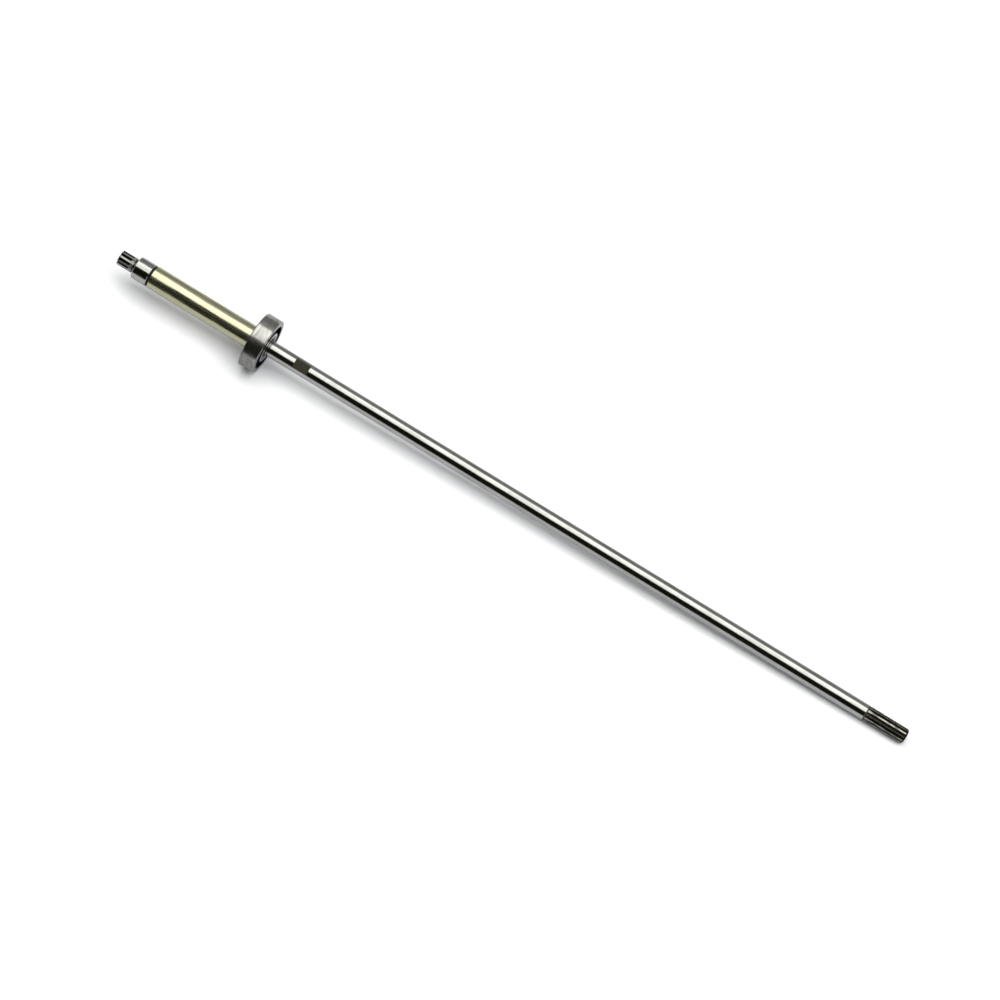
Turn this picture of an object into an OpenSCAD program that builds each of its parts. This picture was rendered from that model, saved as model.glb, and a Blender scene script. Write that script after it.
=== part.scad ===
// Drive shaft with a pressed-on ball bearing and a spacer sleeve.
// The shaft axis is X. The pinion end points to -X and the crank end to +X.
// The origin is the centre of the bearing. Angles about the shaft are counted
// from the horizontal -Y direction up towards +Z.

/* [Shank] */
// Diameter of the long plain shank
shank_d = 13.2; // [11:0.1:15]
// Length of the shank, from the bearing's face to the crank spline
shank_len = 553; // [300:1:800]
// Distance from the bearing's face to the impeller key flat
flat_offset = 24.8; // [10:0.1:80]
// Length of the key flat
flat_len = 13.2; // [6:0.1:25]
// Depth of the key flat below the round of the shank
flat_depth = 1.4; // [0.8:0.1:3]
// Direction in which the key flat faces
flat_angle = 66; // [-180:1:180]

/* [Crank spline] */
// Length of the crank spline
crank_len = 36.6; // [20:0.1:70]
// How far the tops of the crank spline's teeth lie below the shank
crank_drop = 0.25; // [0.05:0.05:0.6]
// Depth of the crank spline's teeth
crank_depth = 1.2; // [0.8:0.1:1.5]
// Teeth on the crank spline
crank_teeth = 12; // [8:1:14]
// Direction of one crank tooth
crank_phase = 20; // [0:1:45]
// Diameter of the cutter that leaves the crank spline's run-out
crank_cutter_d = 40; // [24:1:60]
// Chamfer on the crank end
crank_chamfer = 1.6; // [0.4:0.1:2.5]

/* [Pinion spline] */
// Length of the pinion spline
pinion_len = 13.3; // [9:0.1:25]
// Diameter over the pinion spline's teeth
pinion_major_d = 12.6; // [11:0.1:14]
// Depth of the pinion spline's teeth
pinion_depth = 1.4; // [0.8:0.1:1.6]
// Teeth on the pinion spline
pinion_teeth = 10; // [7:1:12]
// Direction of one pinion tooth
pinion_phase = 31; // [0:1:45]
// Diameter of the cutter that leaves the pinion spline's run-out
pinion_cutter_d = 24; // [16:1:40]
// Full-depth gap that the run-out takes away before the neck
pinion_runout = 4; // [2:0.1:6]
// Chamfer on the pinion end
pinion_chamfer = 0.4; // [0.3:0.1:1.3]
// Width of the round neck between the pinion spline and the collar
neck_w = 2.2; // [1.5:0.1:4]
// Depth of the neck below the tops of the pinion spline's teeth
neck_depth = 1.2; // [0.6:0.1:1.8]

/* [Collar and seat] */
// Height of the lower bearing collar above the seat
collar_rise = 1; // [0.8:0.1:3]
// Length of the collar
collar_len = 13.5; // [8:0.1:25]
// Chamfer on both edges of the collar
collar_chamfer = 0.5; // [0.2:0.1:0.7]
// Length of the ground land that pilots the sleeve beside the collar
pilot_len = 12; // [6:0.5:30]
// Depth of the relieved stretch under the sleeve
relief_depth = 0.4; // [0.1:0.1:1]
// Ground land that reaches out of the bearing under the sleeve
seat_lead = 6; // [2:0.5:20]
// How far the seat stops short of the bearing's outer face
seat_recess = 1.2; // [0.4:0.1:3]
// Fillet where the seat steps down to the shank
step_fillet = 0.8; // [0.3:0.1:1.2]

/* [Sleeve and shim] */
// Wall of the spacer sleeve
sleeve_wall = 1.15; // [0.8:0.05:3]
// Length of the spacer sleeve
sleeve_len = 95; // [50:0.1:140]
// Radial play of the sleeve and the shim on the ground lands
sleeve_play = 0.05; // [0.02:0.01:0.15]
// Chamfer on the sleeve's outer edges
sleeve_chamfer = 0.2; // [0.1:0.05:0.3]
// Wall of the shim ring between collar and sleeve
shim_wall = 0.65; // [0.4:0.05:1]
// Thickness of the shim ring
shim_t = 1.8; // [0.8:0.1:4]

/* [Bearing] */
// Bore of the bearing and diameter of its seat
bearing_bore = 17; // [16:0.1:20]
// Outside diameter of the bearing
bearing_od = 47; // [45:0.5:52]
// Width of the bearing
bearing_w = 14; // [13:0.5:18]
// Diameter of the balls
ball_d = 8.73; // [7.5:0.01:9]
// Number of balls
ball_count = 7; // [5:1:7]
// Height of the inner ring's shoulders above the bottom of its groove
inner_shoulder = 1.6; // [0.8:0.1:1.8]
// Height of the outer ring's shoulders above the bottom of its groove
outer_shoulder = 1.2; // [0.8:0.1:1.8]
// Running play between a ball and each raceway
race_play = 0.02; // [0.01:0.005:0.04]
// Raceway groove radius as a share of the ball's diameter
groove_share = 0.52; // [0.505:0.005:0.55]
// Corner radius at the bore
bore_corner = 0.6; // [0.3:0.05:0.7]
// Corner radius at the outside edges
rim_corner = 1; // [0.4:0.1:1.5]
// Edge break on the shoulders
land_corner = 0.3; // [0.1:0.05:0.5]

/* [Cage] */
// Thickness of the cage sheet
cage_sheet = 0.8; // [0.5:0.05:1]
// Radial width of the cage band
cage_band = 4; // [3:0.1:4.2]
// Play between a ball and its pocket
pocket_play = 0.06; // [0.03:0.01:0.12]
// Diameter of the rivets' shanks
rivet_d = 1.5; // [1:0.1:1.8]
// Diameter of the rivets' heads
rivet_head_d = 2.5; // [2.2:0.1:2.8]
// Height of the rivets' heads
rivet_head_h = 0.5; // [0.3:0.05:0.8]

/* [Finish] */
// Flank angle of the spline teeth
flank_angle = 30; // [20:1:35]
// Diameter of the lathe centres in the shaft's ends
centre_d = 4; // [2.5:0.1:5]
// Diameter of the pilot drill under the lathe centres
centre_pilot_d = 1.6; // [1:0.1:2]
// Depth of the pilot drill
centre_depth = 4.5; // [3.5:0.1:8]

/* [Hidden] */
$fn = 96;

// Stations along the shaft
bearing_right = bearing_w / 2;
bearing_left = -bearing_right;
sleeve_left = bearing_left - sleeve_len;
collar_right = sleeve_left - shim_t;
collar_left = collar_right - collar_len;
pinion_right = collar_left - neck_w;
pinion_left = pinion_right - pinion_len;
seat_right = bearing_right - seat_recess;
flat_left = bearing_right + flat_offset;
crank_left = bearing_right + shank_len;
crank_right = crank_left + crank_len;

// Radii that several pieces share
shank_r = shank_d / 2;
crank_r = shank_r - crank_drop;
pinion_r = pinion_major_d / 2;
seat_r = bearing_bore / 2;
lining_r = seat_r + sleeve_play;
ball_r = ball_d / 2;
pitch_r = (bearing_bore + bearing_od) / 4;
inner_race_r = pitch_r - ball_r - race_play;
outer_race_r = pitch_r + ball_r + race_play;
groove_r = groove_share * ball_d;
pocket_r = ball_r + pocket_play;

// How far a cutting shape reaches past the metal it removes
overcut = 1;
// How far a spline cutter dips below the floor of its gaps
cutter_dip = 0.03;

// Half the width of a tooth gap at radius r, equal to the tooth at mid depth
function gap_half(r, teeth, mid_r) = PI * mid_r / (2 * teeth) + (r - mid_r) * tan(flank_angle);

// Length along which a cutter of radius r climbs by the given height
function climb_len(r, height) = sqrt(r * r - (r - height) * (r - height));

// Turns a profile, drawn as radius and station, about the shaft axis
module turned() rotate([0, 90, 0]) rotate_extrude() children();

// Points what is drawn along +Z in a direction about the shaft
module facing(angle) rotate([90 - angle, 0, 0]) children();

// Corner left over when a square corner at the origin is rounded, open towards +X and +Y
module corner_waste(r) {
    difference() {
        square(r);
        translate([r, r]) circle(r);
    }
}

// Rectangle of a ring's section with its four corners rounded
module ring_section(inner_r, outer_r, half_w, inner_corner, outer_corner) {
    difference() {
        translate([inner_r, -half_w]) square([outer_r - inner_r, 2 * half_w]);
        for (side = [0, 1]) mirror([0, side]) {
            translate([inner_r, -half_w]) corner_waste(inner_corner);
            translate([outer_r, -half_w]) mirror([1, 0]) corner_waste(outer_corner);
        }
    }
}

// Repeats a piece at every ball, or half a step on, between the balls
module around_pitch(step) {
    for (i = [1:ball_count]) rotate([(i + step) * 360 / ball_count, 0, 0])
        translate([0, 0, pitch_r]) children();
}

// One tooth gap that points along +Z, with full depth from x = 0 to len and a run-out towards -X.
// The disc of the cutter dips a hair below the gap's floor, so that the two cuts cross cleanly.
module tooth_gap(teeth, major_r, depth, cutter_r, len) {
    root_r = major_r - depth;
    mid_r = major_r - depth / 2;
    top_r = major_r + overcut;
    root_half = gap_half(root_r, teeth, mid_r);
    top_half = gap_half(top_r, teeth, mid_r);
    rim_r = cutter_r - depth - overcut;
    rotate([90, 0, 90]) linear_extrude(len)
        polygon([[-root_half, root_r], [root_half, root_r], [top_half, top_r], [-top_half, top_r]]);
    translate([0, 0, root_r - cutter_dip + cutter_r]) rotate([90, 0, 0]) rotate_extrude()
        polygon([[cutter_r, -root_half], [cutter_r, root_half], [rim_r, top_half], [rim_r, -top_half]]);
}

// Splined stub from x = 0 to len with its chamfered free end at len and a full gap from gap_start on
module spline(teeth, phase, major_r, depth, cutter_r, len, gap_start, chamfer) {
    difference() {
        turned() polygon([
            [0, 0], [major_r, 0], [major_r, len - chamfer], [major_r - chamfer, len], [0, len]
        ]);
        for (i = [0:teeth - 1]) facing(phase + (i + 0.5) * 360 / teeth) translate([gap_start, 0, 0])
            tooth_gap(teeth, major_r, depth, cutter_r, len - gap_start + overcut);
    }
}

module crank_spline() {
    cutter_r = crank_cutter_d / 2;
    runout = climb_len(cutter_r, crank_depth);
    translate([crank_left, 0, 0])
        spline(crank_teeth, crank_phase, crank_r, crank_depth, cutter_r, crank_len, runout, crank_chamfer);
}

module pinion_spline() {
    translate([pinion_right, 0, 0]) mirror([1, 0, 0])
        spline(pinion_teeth, pinion_phase, pinion_r, pinion_depth, pinion_cutter_d / 2,
            pinion_len, pinion_runout, pinion_chamfer);
}

// Turned profile from the neck to the start of the crank spline
module stem_profile() {
    collar_r = seat_r + collar_rise;
    relief_r = seat_r - relief_depth;
    neck_round = neck_w / 2;
    neck_centre_r = pinion_r - neck_depth + neck_round;
    difference() {
        polygon([
            [0, pinion_right],
            [pinion_r, pinion_right],
            [pinion_r, collar_left],
            [collar_r - collar_chamfer, collar_left],
            [collar_r, collar_left + collar_chamfer],
            [collar_r, collar_right - collar_chamfer],
            [collar_r - collar_chamfer, collar_right],
            [seat_r, collar_right],
            [seat_r, collar_right + pilot_len],
            [relief_r, collar_right + pilot_len],
            [relief_r, bearing_left - seat_lead],
            [seat_r, bearing_left - seat_lead],
            [seat_r, seat_right],
            [shank_r, seat_right],
            [shank_r, crank_left - crank_drop],
            [crank_r, crank_left],
            [0, crank_left]
        ]);
        translate([neck_centre_r, pinion_right + neck_round]) circle(neck_round);
        translate([neck_centre_r, pinion_right]) square([pinion_r, neck_w]);
    }
    translate([shank_r, seat_right]) corner_waste(step_fillet);
}

// Lathe centre in an end face, drilled along +X from x = 0
module lathe_centre() {
    cone_len = (centre_d - centre_pilot_d) / 2 / tan(30);
    turned() polygon([
        [0, -overcut],
        [centre_d / 2, -overcut],
        [centre_d / 2, 0],
        [centre_pilot_d / 2, cone_len],
        [centre_pilot_d / 2, centre_depth],
        [0, centre_depth]
    ]);
}

module drive_shaft() {
    color([0.74, 0.74, 0.72]) difference() {
        union() {
            turned() stem_profile();
            pinion_spline();
            crank_spline();
        }
        facing(flat_angle) translate([flat_left, -shank_r, shank_r - flat_depth])
            cube([flat_len, shank_d, flat_depth + overcut]);
        translate([pinion_left, 0, 0]) lathe_centre();
        translate([crank_right, 0, 0]) mirror([1, 0, 0]) lathe_centre();
    }
}

module shim_ring() {
    color([0.08, 0.08, 0.08]) turned()
        translate([lining_r, collar_right]) square([shim_wall, shim_t]);
}

module spacer_sleeve() {
    sleeve_r = lining_r + sleeve_wall;
    color([0.72, 0.70, 0.48]) turned() polygon([
        [lining_r, sleeve_left],
        [sleeve_r - sleeve_chamfer, sleeve_left],
        [sleeve_r, sleeve_left + sleeve_chamfer],
        [sleeve_r, bearing_left - sleeve_chamfer],
        [sleeve_r - sleeve_chamfer, bearing_left],
        [lining_r, bearing_left]
    ]);
}

module bearing_inner_ring() {
    color([0.66, 0.66, 0.65]) turned() difference() {
        ring_section(seat_r, inner_race_r + inner_shoulder, bearing_right, bore_corner, land_corner);
        translate([inner_race_r + groove_r, 0]) circle(groove_r);
    }
}

module bearing_outer_ring() {
    color([0.60, 0.60, 0.59]) turned() difference() {
        ring_section(outer_race_r - outer_shoulder, bearing_od / 2, bearing_right, land_corner, rim_corner);
        translate([outer_race_r - groove_r, 0]) circle(groove_r);
    }
}

module ball(i) {
    color([0.80, 0.80, 0.80]) rotate([i * 360 / ball_count, 0, 0]) translate([0, 0, pitch_r]) sphere(ball_r);
}

// Pressed half of the ribbon cage on the +X side: flat webs between domed pockets
module cage_half() {
    reach = pocket_r + cage_sheet;
    difference() {
        intersection() {
            turned() translate([pitch_r - cage_band / 2, 0]) square([cage_band, reach + overcut]);
            union() {
                turned() translate([pitch_r - cage_band, 0]) square([2 * cage_band, cage_sheet]);
                around_pitch(0) sphere(reach);
            }
        }
        around_pitch(0) sphere(pocket_r);
        around_pitch(0.5) rotate([0, 90, 0]) cylinder(d = rivet_d, h = 4 * cage_sheet, center = true);
    }
}

module cage_front() {
    color([0.45, 0.44, 0.42]) cage_half();
}

module cage_rear() {
    color([0.45, 0.44, 0.42]) mirror([1, 0, 0]) cage_half();
}

module cage_rivets() {
    head_r = rivet_head_d / 2;
    head_top = cage_sheet + rivet_head_h;
    color([0.52, 0.51, 0.49]) around_pitch(0.5) turned() polygon([
        [0, -head_top],
        [rivet_d / 2, -head_top],
        [head_r, -cage_sheet],
        [rivet_d / 2, -cage_sheet],
        [rivet_d / 2, cage_sheet],
        [head_r, cage_sheet],
        [rivet_d / 2, head_top],
        [0, head_top]
    ]);
}

drive_shaft();
shim_ring();
spacer_sleeve();
bearing_inner_ring();
bearing_outer_ring();
cage_front();
cage_rear();
cage_rivets();
for (i = [1:ball_count]) ball(i);
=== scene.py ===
"""Drive shaft on a pale studio floor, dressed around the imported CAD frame."""
import math

import bpy
from mathutils import Matrix, Vector

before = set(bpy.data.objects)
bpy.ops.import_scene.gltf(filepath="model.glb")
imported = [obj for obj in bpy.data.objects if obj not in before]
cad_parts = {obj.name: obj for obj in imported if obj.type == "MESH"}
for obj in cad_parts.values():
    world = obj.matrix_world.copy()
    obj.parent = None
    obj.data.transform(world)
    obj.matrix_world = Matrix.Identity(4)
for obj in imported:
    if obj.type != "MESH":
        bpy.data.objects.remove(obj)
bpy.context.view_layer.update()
scene = bpy.context.scene
scene.view_settings.view_transform = "Standard"

# Stations and radii of the CAD model, in metres
MM = 0.001
CRANK_LEFT = 0.5600
CRANK_RIGHT = 0.5966
CRANK_R = 0.00635
PINION_LEFT = -0.1328
PINION_RIGHT = -0.1195
PINION_R = 0.0063
NECK_RIGHT = -0.1173
FLAT_LEFT = 0.0318
FLAT_RIGHT = 0.0450
FLAT_R = 0.0052
FLAT_ANGLE = math.radians(66)
RIM_R = 0.0235
INNER_LAND_R = 0.01321
OUTER_LAND_R = 0.01919

# Camera, fitted to the stations of the shaft in the photo, with lengths in metres
ELEVATION = math.radians(60)
ROLL = math.radians(31.44)
LENS_MM = 120
SENSOR_MM = 36
CLIP_NEAR = 0.05
CLIP_FAR = 60
FOOT_X = 0.4214
REACH = 2.6283
AIM_X = 0.2279
AIM_DROP = 0.0074


def make_camera():
    """Camera in front of the shaft and above it, rolled until the shaft lies as in the photo."""
    data = bpy.data.cameras.new("photo_camera")
    data.lens = LENS_MM
    data.sensor_width = SENSOR_MM
    data.clip_start = CLIP_NEAR
    data.clip_end = CLIP_FAR
    camera = bpy.data.objects.new("photo_camera", data)
    scene.collection.objects.link(camera)
    place = Vector((FOOT_X, -REACH * math.cos(ELEVATION), REACH * math.sin(ELEVATION)))
    aim = Vector((AIM_X, -AIM_DROP * math.sin(ELEVATION), -AIM_DROP * math.cos(ELEVATION)))
    ahead = (aim - place).normalized()
    along = Vector((1, 0, 0))
    along = (along - along.dot(ahead) * ahead).normalized()
    across = along.cross(ahead)
    right = math.cos(ROLL) * along + math.sin(ROLL) * across
    up = -math.sin(ROLL) * along + math.cos(ROLL) * across
    turn = Matrix((right, up, -ahead)).transposed()
    camera.matrix_world = Matrix.Translation(place) @ turn.to_4x4()
    scene.camera = camera


class Nodes:
    """Adds nodes to one node tree and links them. A value is a socket or a plain number."""

    # Input and output sockets of a colour Mix node
    MIX_FACTOR, MIX_A, MIX_B, MIX_RESULT = 0, 6, 7, 2

    def __init__(self, tree):
        self.tree = tree
        tree.nodes.clear()

    def add(self, kind, inputs=(), **settings):
        node = self.tree.nodes.new(kind)
        for key, value in settings.items():
            setattr(node, key, value)
        for key, value in dict(inputs).items():
            self.feed(node, key, value)
        return node

    def feed(self, node, key, value):
        if isinstance(value, bpy.types.NodeSocket):
            self.tree.links.new(value, node.inputs[key])
        else:
            node.inputs[key].default_value = value

    def math(self, operation, *values):
        return self.add("ShaderNodeMath", enumerate(values), operation=operation).outputs[0]

    def times(self, a, b):
        return self.math("MULTIPLY", a, b)

    def plus(self, a, b):
        return self.math("ADD", a, b)

    def larger(self, a, b):
        return self.math("MAXIMUM", a, b)

    def weighted(self, a, weight_a, b, weight_b):
        return self.plus(self.times(a, weight_a), self.times(b, weight_b))

    def length(self, a, b):
        """Length of the vector that has these two parts."""
        return self.math("SQRT", self.plus(self.times(a, a), self.times(b, b)))

    def span(self, value, low, high, to_low=0.0, to_high=1.0):
        """Maps value smoothly from low..high to to_low..to_high, clamped at both ends."""
        inputs = enumerate((value, low, high, to_low, to_high))
        node = self.add("ShaderNodeMapRange", inputs, interpolation_type="SMOOTHSTEP")
        return node.outputs[0]

    def between(self, value, low, high, edge):
        """One inside low..high and zero outside, with soft edges."""
        rise = self.span(value, low - edge, low + edge)
        fall = self.span(value, high - edge, high + edge, 1, 0)
        return self.times(rise, fall)

    def mix(self, factor, a, b):
        inputs = {self.MIX_FACTOR: factor, self.MIX_A: a, self.MIX_B: b}
        return self.add("ShaderNodeMix", inputs, data_type="RGBA").outputs[self.MIX_RESULT]

    def tint(self, color, where, share, shade):
        """Mixes up to this share of a shade into the colour, where the mask is one."""
        return self.mix(self.times(where, share), color, shade)

    def point(self):
        """Point in the row frame, in metres."""
        return self.add("ShaderNodeTexCoord").outputs["Object"]

    def parts(self, vector):
        """The x, y and z parts of a vector."""
        return self.add("ShaderNodeSeparateXYZ", {0: vector}).outputs[:]

    def noise(self, point, scale, detail=2.0, roughness=0.5):
        """Noise with its own scale along each axis, per metre."""
        spot = self.add("ShaderNodeVectorMath", {0: point, 1: scale}, operation="MULTIPLY")
        inputs = {"Vector": spot.outputs[0], "Scale": 1.0, "Detail": detail,
                  "Roughness": roughness}
        return self.add("ShaderNodeTexNoise", inputs).outputs[0]

    def turned_lines(self, point, per_metre, around, detail=3.0):
        """Noise drawn out into fine lines round the shaft axis, on cylinders and end faces."""
        x, y, z = self.parts(point)
        r = self.length(y, z)
        safe_r = self.larger(r, LEAST_LINE_R)
        sine = self.times(self.math("DIVIDE", y, safe_r), around)
        cosine = self.times(self.math("DIVIDE", z, safe_r), around)
        spot = self.add("ShaderNodeCombineXYZ", {0: self.times(x, per_metre),
                                                 1: self.times(r, per_metre), 2: sine})
        inputs = {"Vector": spot.outputs[0], "W": cosine, "Scale": 1.0, "Detail": detail,
                  "Roughness": LINE_ROUGHNESS}
        return self.add("ShaderNodeTexNoise", inputs, noise_dimensions="4D").outputs[0]

    def bump(self, height, strength, distance, under=None):
        """Normal of a bump, laid over another bump's normal where one is given."""
        node = self.add("ShaderNodeBump", {"Height": height, "Strength": strength,
                                           "Distance": distance})
        if under is not None:
            self.feed(node, "Normal", under)
        return node.outputs[0]

    def finish(self, kind, shader):
        out = self.add(kind)
        self.tree.links.new(shader.outputs[0], out.inputs[0])

    def surface(self, **inputs):
        sockets = {key.replace("_", " "): value for key, value in inputs.items()}
        self.finish("ShaderNodeOutputMaterial", self.add("ShaderNodeBsdfPrincipled", sockets))


def new_material(name):
    material = bpy.data.materials.new(name)
    material.use_nodes = True
    return material, Nodes(material.node_tree)


def grey(value):
    return (value, value, value, 1)


# In the materials below, a noise is its scale per metre, then detail and roughness; lines are
# lines per metre, a scale around the axis, then detail; a range is low and high, then what they
# map to; a bump is its strength and its distance in metres. Colours are linear.
LEAST_LINE_R = 0.0005
LINE_ROUGHNESS = 0.6

# Shaft: ground steel, with a film and hair scratches
SHAFT_LINES = (3000, 1.2)
SHAFT_COARSE_LINES = (420, 0.8, 2.0)
SHAFT_CLOUDS = ((38, 150, 150), 4.0, 0.6)
SHAFT_SCRATCHES = ((25, 5200, 5200), 2.0, 0.5)
SHAFT_LINE_SHARE, SHAFT_CLOUD_SHARE = 0.40, 0.60
STEEL_RANGE = (0.36, 0.64)
STEEL_DARK = (0.50, 0.50, 0.465, 1)
STEEL_LIGHT = (0.66, 0.66, 0.625, 1)
FILM_RANGE = (0.56, 0.74)
FILM_SHARE = 0.22
FILM_SHADE = (0.46, 0.43, 0.36, 1)
HAIR_RANGE = (0.66, 0.74)
HAIR_SHARE = 0.12
HAIR_SHADE = (0.34, 0.34, 0.33, 1)
SHAFT_ROUGH_RANGE = (0.7, 1.3, 0.12, 0.18)
SHAFT_BUMP = (0.12, 0.000006)

# Shaft: oil in the tooth gaps, grime on the tooth tops, and painted shade at the start of the
# crank teeth and in the neck
GRIME = ((240, 420, 420), 3.0)
GRIME_RANGE = (0.40, 0.66)
CRANK_TOP_RANGE = (0.0, 1.0, 0.18, 0.70)
PINION_TOP_RANGE = (0.0, 1.0, 0.02, 0.30)
RUNOUT_OIL = 0.12
START_PAINTED_SHADE = 0.85
NECK_PAINTED_SHADE = 0.60
OIL_AND_PAINTED_SHADE_DARK = (0.009, 0.009, 0.006, 1)
OIL_AND_PAINTED_SHADE_LIGHT = (0.034, 0.030, 0.020, 1)
OLIVE_SHARE = 0.5
OLIVE_SHADE = (0.50, 0.49, 0.38, 1)
CRANK_ROUGH, PINION_ROUGH, OIL_ROUGH = 0.21, 0.27, 0.12

# Shaft: the milled key flat, coloured near black as painted shade
MILL_MARKS = ((2400, 90, 90), 2.0, 0.5)
FLAT_PAINTED_SHADE_DARK = (0.033, 0.031, 0.020, 1)
FLAT_PAINTED_SHADE_LIGHT = (0.055, 0.052, 0.035, 1)
MILLED_ROUGH = 0.20
MILL_DEPTH = 2.0


def tooth_dirt_and_painted_shade(n, x, r, crank, pinion, grime):
    """Mask of oil in the tooth gaps and of top grime, with painted shade at the crank teeth's
    start and in the neck.
    """
    crank_gap = n.span(r, CRANK_R - 0.22 * MM, CRANK_R - 0.02 * MM, 1, 0)
    pinion_gap = n.span(r, PINION_R - 0.30 * MM, PINION_R - 0.08 * MM, 1, 0)
    runout = n.span(x, PINION_RIGHT - 3.6 * MM, PINION_RIGHT - 2.4 * MM, 1, RUNOUT_OIL)
    gaps = n.larger(n.times(crank, crank_gap), n.times(pinion, n.times(runout, pinion_gap)))
    off_end_faces = n.between(x, PINION_LEFT + 0.15 * MM, CRANK_RIGHT - 0.15 * MM, 0.05 * MM)
    # painted shade: a dark ring at the start of the crank teeth, standing in for the shade of a
    # step
    crank_start_painted_shade = n.between(x, CRANK_LEFT - 0.1 * MM, CRANK_LEFT + 1.0 * MM, 0.25 * MM)
    # painted shade: the neck and the foot of the collar's chamfer darkened
    neck_painted_shade = n.between(x, PINION_RIGHT, NECK_RIGHT + 0.4 * MM, 0.3 * MM)
    tops = n.plus(n.times(crank, n.span(grime, *CRANK_TOP_RANGE)),
                  n.times(pinion, n.span(grime, *PINION_TOP_RANGE)))
    dark = n.larger(n.times(gaps, off_end_faces), n.times(crank_start_painted_shade, START_PAINTED_SHADE))
    dark = n.larger(dark, n.times(neck_painted_shade, NECK_PAINTED_SHADE))
    return n.larger(dark, tops)


def key_flat(n, x, y, z):
    """Mask of the milled key flat."""
    level = n.weighted(y, -math.cos(FLAT_ANGLE), z, math.sin(FLAT_ANGLE))
    return n.times(n.between(x, FLAT_LEFT, FLAT_RIGHT, 0.05 * MM),
                   n.between(level, FLAT_R - 0.03 * MM, FLAT_R + 0.2 * MM, 0.01 * MM))


def make_shaft_steel():
    """Ground steel with oily dark tooth gaps, painted shade at the crank teeth's start and in the
    neck, and a dull milled flat coloured near black as painted shade.
    """
    material, n = new_material("shaft_steel_ground")
    point = n.point()
    x, y, z = n.parts(point)
    lines = n.turned_lines(point, *SHAFT_LINES)
    coarse = n.turned_lines(point, *SHAFT_COARSE_LINES)
    clouds = n.noise(point, *SHAFT_CLOUDS)
    scratches = n.noise(point, *SHAFT_SCRATCHES)
    grime = n.span(n.noise(point, *GRIME), *GRIME_RANGE)
    mill = n.noise(point, *MILL_MARKS)
    crank = n.span(x, CRANK_LEFT - 0.5 * MM, CRANK_LEFT + 0.2 * MM)
    pinion = n.span(x, PINION_RIGHT - 0.2 * MM, PINION_RIGHT + 0.5 * MM, 1, 0)
    dark = tooth_dirt_and_painted_shade(n, x, n.length(y, z), crank, pinion, grime)
    flat = key_flat(n, x, y, z)

    tone = n.weighted(lines, SHAFT_LINE_SHARE, clouds, SHAFT_CLOUD_SHARE)
    color = n.mix(n.span(tone, *STEEL_RANGE), STEEL_DARK, STEEL_LIGHT)
    color = n.tint(color, n.span(clouds, *FILM_RANGE), FILM_SHARE, FILM_SHADE)
    color = n.tint(color, n.span(scratches, *HAIR_RANGE), HAIR_SHARE, HAIR_SHADE)
    color = n.tint(color, crank, OLIVE_SHARE, OLIVE_SHADE)
    # oil in the gaps, grime on the tops, and painted shade at the teeth's start and in the neck
    color = n.mix(dark, color, n.mix(grime, OIL_AND_PAINTED_SHADE_DARK, OIL_AND_PAINTED_SHADE_LIGHT))
    # painted shade: the key flat coloured near black, with mill marks
    color = n.mix(flat, color, n.mix(mill, FLAT_PAINTED_SHADE_DARK, FLAT_PAINTED_SHADE_LIGHT))

    rough = n.span(n.plus(lines, clouds), *SHAFT_ROUGH_RANGE)
    rough = n.plus(rough, n.weighted(crank, CRANK_ROUGH, pinion, PINION_ROUGH))
    rough = n.plus(rough, n.times(dark, OIL_ROUGH))
    rough = n.plus(rough, n.times(flat, MILLED_ROUGH))
    height = n.weighted(lines, 0.5, coarse, 0.5)
    height = n.plus(height, n.times(n.times(mill, flat), MILL_DEPTH))
    n.surface(Base_Color=color, Metallic=1.0, Roughness=rough, Normal=n.bump(height, *SHAFT_BUMP))
    return material


# Sleeve: yellow-passivated zinc
SLEEVE_DRAWN = ((30, 2600, 2600), 3.0, 0.6)
SLEEVE_TINTS = ((55, 130, 130), 3.0, 0.55)
SLEEVE_WAVE = ((36, 95, 95), 1.0)
SLEEVE_RIPPLE = ((150, 320, 320), 2.0)
SLEEVE_SPECKS = ((900, 1100, 1100), 2.0)
ZINC_RANGE = (0.35, 0.65)
ZINC_DARK = (0.655, 0.641, 0.405, 1)
ZINC_LIGHT = (0.755, 0.744, 0.515, 1)
GREEN_RANGE = (0.52, 0.72)
GREEN_SHARE = 0.35
GREEN_SHADE = (0.58, 0.62, 0.39, 1)
ROSE_RANGE = (0.30, 0.46, 1, 0)
ROSE_SHARE = 0.45
ROSE_SHADE = (0.74, 0.66, 0.51, 1)
SPECK_RANGE = (0.68, 0.76)
SPECK_SHARE = 0.5
SPECK_SHADE = (0.30, 0.28, 0.19, 1)
ZINC_METALLIC = 0.982
ZINC_ROUGH_RANGE = (0.42, 0.58, 0.13, 0.29)
DRAWN_BUMP = (0.12, 0.000006)
SLEEVE_RIPPLE_BUMP = (0.5, 0.0001)
SLEEVE_WAVE_BUMP = (0.5, 0.0009)


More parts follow.
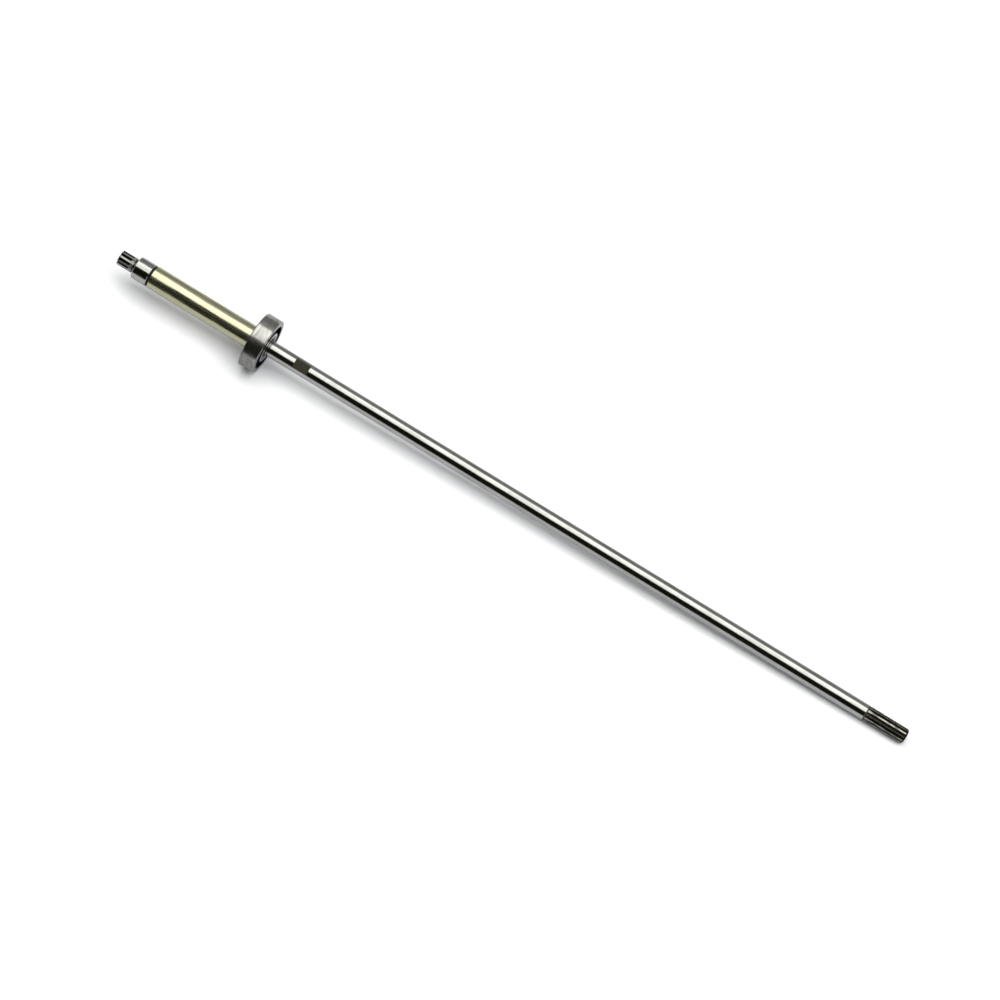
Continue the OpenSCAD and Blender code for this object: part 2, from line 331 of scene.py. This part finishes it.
def make_sleeve_zinc():
    """Yellow-passivated zinc on drawn tube: cream, faint green and rose tints, a gentle wave."""
    material, n = new_material("sleeve_yellow_zinc")
    point = n.point()
    drawn = n.noise(point, *SLEEVE_DRAWN)
    tints = n.noise(point, *SLEEVE_TINTS)
    specks = n.noise(point, *SLEEVE_SPECKS)
    color = n.mix(n.span(drawn, *ZINC_RANGE), ZINC_DARK, ZINC_LIGHT)
    color = n.tint(color, n.span(tints, *GREEN_RANGE), GREEN_SHARE, GREEN_SHADE)
    color = n.tint(color, n.span(tints, *ROSE_RANGE), ROSE_SHARE, ROSE_SHADE)
    color = n.tint(color, n.span(specks, *SPECK_RANGE), SPECK_SHARE, SPECK_SHADE)
    rough = n.span(drawn, *ZINC_ROUGH_RANGE)
    normal = n.bump(drawn, *DRAWN_BUMP)
    normal = n.bump(n.noise(point, *SLEEVE_RIPPLE), *SLEEVE_RIPPLE_BUMP, under=normal)
    normal = n.bump(n.noise(point, *SLEEVE_WAVE), *SLEEVE_WAVE_BUMP, under=normal)
    n.surface(Base_Color=color, Metallic=ZINC_METALLIC, Roughness=rough, Normal=normal)
    return material


# Bearing rings: ground steel with spots; painted shade low on the outer ring and in the insides, a
# painted reflection on the inner ring, darker round the bore
RING_LINES = (8000, 1.0)
RING_CLOUDS = ((170, 90, 90), 4.0, 0.6)
RING_WAVE = ((120, 70, 70), 1.0)
RING_SPOTS = ((230, 85, 85), 4.0, 0.65)
RING_GRAIN = ((9000, 9000, 9000), 1.0)
RING_LINE_SHARE, RING_CLOUD_SHARE = 0.15, 0.85
RING_RANGE = (0.36, 0.64)
RING_DARK = (0.42, 0.410, 0.378, 1)
RING_LIGHT = (0.61, 0.598, 0.555, 1)
SPOT_RANGE = (0.47, 0.66)
SPOT_SHARE = 0.50
SPOT_SHADE = (0.17, 0.165, 0.15, 1)
LOW_SHADE_EDGE_RANGE = (0.3, 0.7, -0.15, 0.15)
LOW_SHADE_RANGE = (0.15, 0.55, 1, 0)
LOW_SHADE_SPOT_RANGE = (0.35, 0.60, 0.30, 0.65)
LOW_PAINTED_SHADE = (0.20, 0.197, 0.185, 1)
FACE_REFLECTION_SHARE = 0.85
FACE_PAINTED_REFLECTION = (0.86, 0.855, 0.84, 1)
BORE_DARKENING = 0.75
BORE_SHADE = (0.10, 0.095, 0.08, 1)
INSIDE_PAINTED_SHADE = (0.024, 0.023, 0.019, 1)
INSIDE_ROUGH = 0.30
RING_ROUGH_RANGE = (0.42, 0.58, 0.12, 0.33)
RING_LINE_BUMP = (0.06, 0.000004)
RING_WAVE_BUMP = (0.4, 0.0006)


def make_ring_steel():
    """Bearing steel: ground rims and faces with handling marks, painted shade low on the outer
    ring and inside, a painted reflection on the inner ring, and darker round the bore.
    """
    material, n = new_material("ring_steel_ground")
    point = n.point()
    _, y, z = n.parts(point)
    r = n.length(y, z)
    lines = n.turned_lines(point, *RING_LINES)
    clouds = n.noise(point, *RING_CLOUDS)
    spots = n.noise(point, *RING_SPOTS)
    height = n.plus(n.math("DIVIDE", z, r), n.span(clouds, *LOW_SHADE_EDGE_RANGE))
    outer = n.span(r, OUTER_LAND_R, OUTER_LAND_R + 0.5 * MM)
    low_painted_shade = n.times(n.span(height, *LOW_SHADE_RANGE), outer)
    face_painted_reflection = n.between(r, INNER_LAND_R - 2.3 * MM, INNER_LAND_R - 0.3 * MM, 0.15 * MM)
    bore = n.span(r, INNER_LAND_R - 2.5 * MM, INNER_LAND_R - 2.2 * MM, BORE_DARKENING, 0)
    inside_painted_shade = n.between(r, INNER_LAND_R - 0.15 * MM, OUTER_LAND_R + 0.15 * MM, 0.08 * MM)

    tone = n.weighted(lines, RING_LINE_SHARE, clouds, RING_CLOUD_SHARE)
    color = n.mix(n.span(tone, *RING_RANGE), RING_DARK, RING_LIGHT)
    color = n.tint(color, n.span(spots, *SPOT_RANGE), SPOT_SHARE, SPOT_SHADE)
    # painted shade: darker low on the outer ring
    color = n.tint(color, low_painted_shade, n.span(spots, *LOW_SHADE_SPOT_RANGE), LOW_PAINTED_SHADE)
    # painted reflection: a bright band on the inner ring's faces
    color = n.tint(color, face_painted_reflection, FACE_REFLECTION_SHARE, FACE_PAINTED_REFLECTION)
    # darker round the bore, next to the shaft
    color = n.mix(bore, color, BORE_SHADE)
    # painted shade: the races and lands inside the bearing made near black
    color = n.mix(inside_painted_shade, color, INSIDE_PAINTED_SHADE)

    rough = n.span(n.noise(point, *RING_GRAIN), *RING_ROUGH_RANGE)
    rough = n.plus(rough, n.times(inside_painted_shade, INSIDE_ROUGH))
    normal = n.bump(lines, *RING_LINE_BUMP)
    normal = n.bump(n.noise(point, *RING_WAVE), *RING_WAVE_BUMP, under=normal)
    n.surface(Base_Color=color, Metallic=1.0, Roughness=rough, Normal=normal)
    return material


# Cage: coloured near black as painted shade of the bearing's recess
CAGE_GRAIN = ((900, 900, 900), 3.0)
CAGE_GREASE = ((160, 160, 160), 2.0)
CAGE_PAINTED_SHADE_DARK = (0.018, 0.017, 0.015, 1)
CAGE_PAINTED_SHADE_LIGHT = (0.042, 0.040, 0.036, 1)
GREASE_RANGE = (0.45, 0.62)
GREASE_SHARE = 0.6
GREASE_SHADE = (0.013, 0.012, 0.008, 1)
CAGE_ROUGH_RANGE = (0.3, 0.7, 0.42, 0.58)
CAGE_BUMP = (0.25, 0.00002)


def make_cage_steel():
    """Pressed steel strip, dull, near black as painted shade, with greasy patches."""
    material, n = new_material("cage_steel_pressed")
    point = n.point()
    grain = n.noise(point, *CAGE_GRAIN)
    grease = n.span(n.noise(point, *CAGE_GREASE), *GREASE_RANGE)
    # painted shade: the cage coloured near black
    color = n.mix(grain, CAGE_PAINTED_SHADE_DARK, CAGE_PAINTED_SHADE_LIGHT)
    color = n.tint(color, grease, GREASE_SHARE, GREASE_SHADE)
    rough = n.span(grain, *CAGE_ROUGH_RANGE)
    n.surface(Base_Color=color, Metallic=1.0, Roughness=rough, Normal=n.bump(grain, *CAGE_BUMP))
    return material


# Balls: toned down as painted shade of the bearing's recess
BALL_FILM = ((420, 420, 420), 2.0)
BALL_RANGE = (0.35, 0.70)
BALL_CLEAN_PAINTED_SHADE = (0.36, 0.355, 0.34, 1)
BALL_OILED_PAINTED_SHADE = (0.20, 0.19, 0.165, 1)
BALL_ROUGH_RANGE = (0.35, 0.70, 0.10, 0.24)


def make_ball_steel():
    """Polished ball, toned down as painted shade, with a thin uneven film of oil."""
    material, n = new_material("ball_steel_polished")
    film = n.noise(n.point(), *BALL_FILM)
    # painted shade: the balls toned down
    color = n.mix(n.span(film, *BALL_RANGE), BALL_CLEAN_PAINTED_SHADE, BALL_OILED_PAINTED_SHADE)
    n.surface(Base_Color=color, Metallic=1.0, Roughness=n.span(film, *BALL_ROUGH_RANGE))
    return material


# Shim ring
SHIM_RUB = ((700, 260, 260), 3.0)
SHIM_RANGE = (0.55, 0.80)
SHIM_BLACK = (0.004, 0.004, 0.004, 1)
SHIM_RUBBED = (0.022, 0.022, 0.021, 1)
SHIM_ROUGH_RANGE = (0.3, 0.7, 0.46, 0.62)
SHIM_SPECULAR = 0.2
SHIM_BUMP = (0.2, 0.00002)


def make_shim_black():
    """Black-oxide shim with rubbed spots."""
    material, n = new_material("shim_black_oxide")
    rub = n.noise(n.point(), *SHIM_RUB)
    color = n.mix(n.span(rub, *SHIM_RANGE), SHIM_BLACK, SHIM_RUBBED)
    rough = n.span(rub, *SHIM_ROUGH_RANGE)
    n.surface(Base_Color=color, Metallic=0.0, Roughness=rough, Specular_IOR_Level=SHIM_SPECULAR,
              Normal=n.bump(rub, *SHIM_BUMP))
    return material


def wear(node_name, material):
    """Gives a CAD node its material."""
    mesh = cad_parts[node_name].data
    mesh.materials.clear()
    mesh.materials.append(material)


def dress_nodes():
    ring_steel = make_ring_steel()
    cage_steel = make_cage_steel()
    ball_steel = make_ball_steel()
    wear("drive_shaft", make_shaft_steel())
    wear("shim_ring", make_shim_black())
    wear("spacer_sleeve", make_sleeve_zinc())
    wear("bearing_inner_ring", ring_steel)
    wear("bearing_outer_ring", ring_steel)
    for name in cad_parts:
        if name.startswith("cage_"):
            wear(name, cage_steel)
        if name.startswith("ball_"):
            wear(name, ball_steel)


# Floor: lengths in metres, glow added to the paper's own light, and the tone of the paper. In the
# metal the floor is darker, and it fades out in front of the part.
FLOOR_SIZE = 8.0
MIDDLE_X = 0.23
FLOOR_GLOW = 0.02
FLOOR_GLOW_TINT = (0.70, 0.90, 1.30, 1)
FAR_FLOOR_GLOW = 0.9
NEAR_FLOOR = 0.7
FAR_FLOOR = 2.6
FLOOR_PAPER = 0.86
FLOOR_GLOW_IN_METAL = 0.04
FLOOR_PAPER_IN_METAL = 0.41
FRONT_PAPER_IN_METAL = 0.02
FRONT_NEAR_Y = -0.08
FRONT_FAR_Y = -0.30


def make_floor_white():
    """White paper that glows more with distance, so that it meets the white background."""
    material, n = new_material("floor_white")
    path = n.add("ShaderNodeLightPath").outputs
    mirrored = n.larger(path["Is Glossy Ray"], path["Is Transmission Ray"])
    x, y, _ = n.parts(n.point())
    apart = n.length(n.math("SUBTRACT", x, MIDDLE_X), y)
    lit = n.span(y, FRONT_FAR_Y, FRONT_NEAR_Y)
    glow_here = n.span(apart, NEAR_FLOOR, FAR_FLOOR, FLOOR_GLOW, FAR_FLOOR_GLOW)
    strength = n.plus(n.times(path["Is Camera Ray"], glow_here),
                      n.times(mirrored, n.times(lit, FLOOR_GLOW_IN_METAL)))
    tint = n.mix(n.span(apart, NEAR_FLOOR, FAR_FLOOR), FLOOR_GLOW_TINT, grey(1.0))
    glow = n.add("ShaderNodeEmission", {"Color": tint, "Strength": strength})
    in_metal = n.mix(lit, grey(FRONT_PAPER_IN_METAL), grey(FLOOR_PAPER_IN_METAL))
    tone = n.mix(mirrored, grey(FLOOR_PAPER), in_metal)
    paper = n.add("ShaderNodeBsdfDiffuse", {"Color": tone})
    both = n.add("ShaderNodeAddShader", {0: glow.outputs[0], 1: paper.outputs[0]})
    n.finish("ShaderNodeOutputMaterial", both)
    return material


def make_floor():
    """Floor that touches the bearing's rim and the crank end."""
    half = FLOOR_SIZE / 2
    corners = [(-half, -half, 0), (half, -half, 0), (half, half, 0), (-half, half, 0)]
    mesh = bpy.data.meshes.new("floor")
    mesh.from_pydata(corners, [], [(0, 1, 2, 3)])
    mesh.materials.append(make_floor_white())
    floor = bpy.data.objects.new("floor", mesh)
    tilt = math.atan2(RIM_R - CRANK_R, CRANK_RIGHT)
    drop = Matrix.Translation((0, 0, -RIM_R / math.cos(tilt)))
    floor.matrix_world = drop @ Matrix.Rotation(-tilt, 4, "Y")
    scene.collection.objects.link(floor)


# Lamps: place, width and depth in metres, and radiance, each at a height of its own. Metal mirrors
# the softbox alone. The key and the fill light the floor and the matt surfaces.
SOFTBOX = ((0.25, 0.146, 1.6), 3.4, 1.73, 1.45)
KEY = ((0.25, 0.02, 1.8), 3.2, 1.33, 2.95)
FILL = ((0.25, 0.26, 2.1), 5.0, 5.8, 0.78)


def make_lamp(name, place, width, depth, radiance):
    """Level panel of soft light that faces down, with the stated radiance."""
    data = bpy.data.lights.new(name, "AREA")
    data.shape = "RECTANGLE"
    data.size = width
    data.size_y = depth
    data.energy = math.pi * width * depth * radiance
    lamp = bpy.data.objects.new(name, data)
    lamp.location = place
    scene.collection.objects.link(lamp)
    return lamp


def make_lamps():
    make_lamp("softbox_top", *SOFTBOX).visible_diffuse = False
    make_lamp("key_top", *KEY).visible_glossy = False
    make_lamp("fill_top", *FILL).visible_glossy = False


# World: white to the camera, and for all else a dark front and a grey back wall, paler higher up
BACK_RANGE = (-0.30, 0.50)
WALL_RANGE = (0.25, 0.85)
WALL_LOW = 0.195
WALL_HIGH = 0.34
FRONT_SHADE = (0.0075, 0.0078, 0.0048, 1)


def make_world():
    world = bpy.data.worlds.new("studio")
    scene.world = world
    world.use_nodes = True
    n = Nodes(world.node_tree)
    _, back, up = n.parts(n.add("ShaderNodeTexCoord").outputs["Generated"])
    wall = n.mix(n.span(up, *WALL_RANGE), grey(WALL_LOW), grey(WALL_HIGH))
    room = n.mix(n.span(back, *BACK_RANGE), FRONT_SHADE, wall)
    seen = n.add("ShaderNodeLightPath").outputs["Is Camera Ray"]
    color = n.mix(seen, room, grey(1.0))
    light = n.add("ShaderNodeBackground", {"Color": color, "Strength": 1.0})
    n.finish("ShaderNodeOutputWorld", light)


make_camera()
dress_nodes()
make_floor()
make_lamps()
make_world()
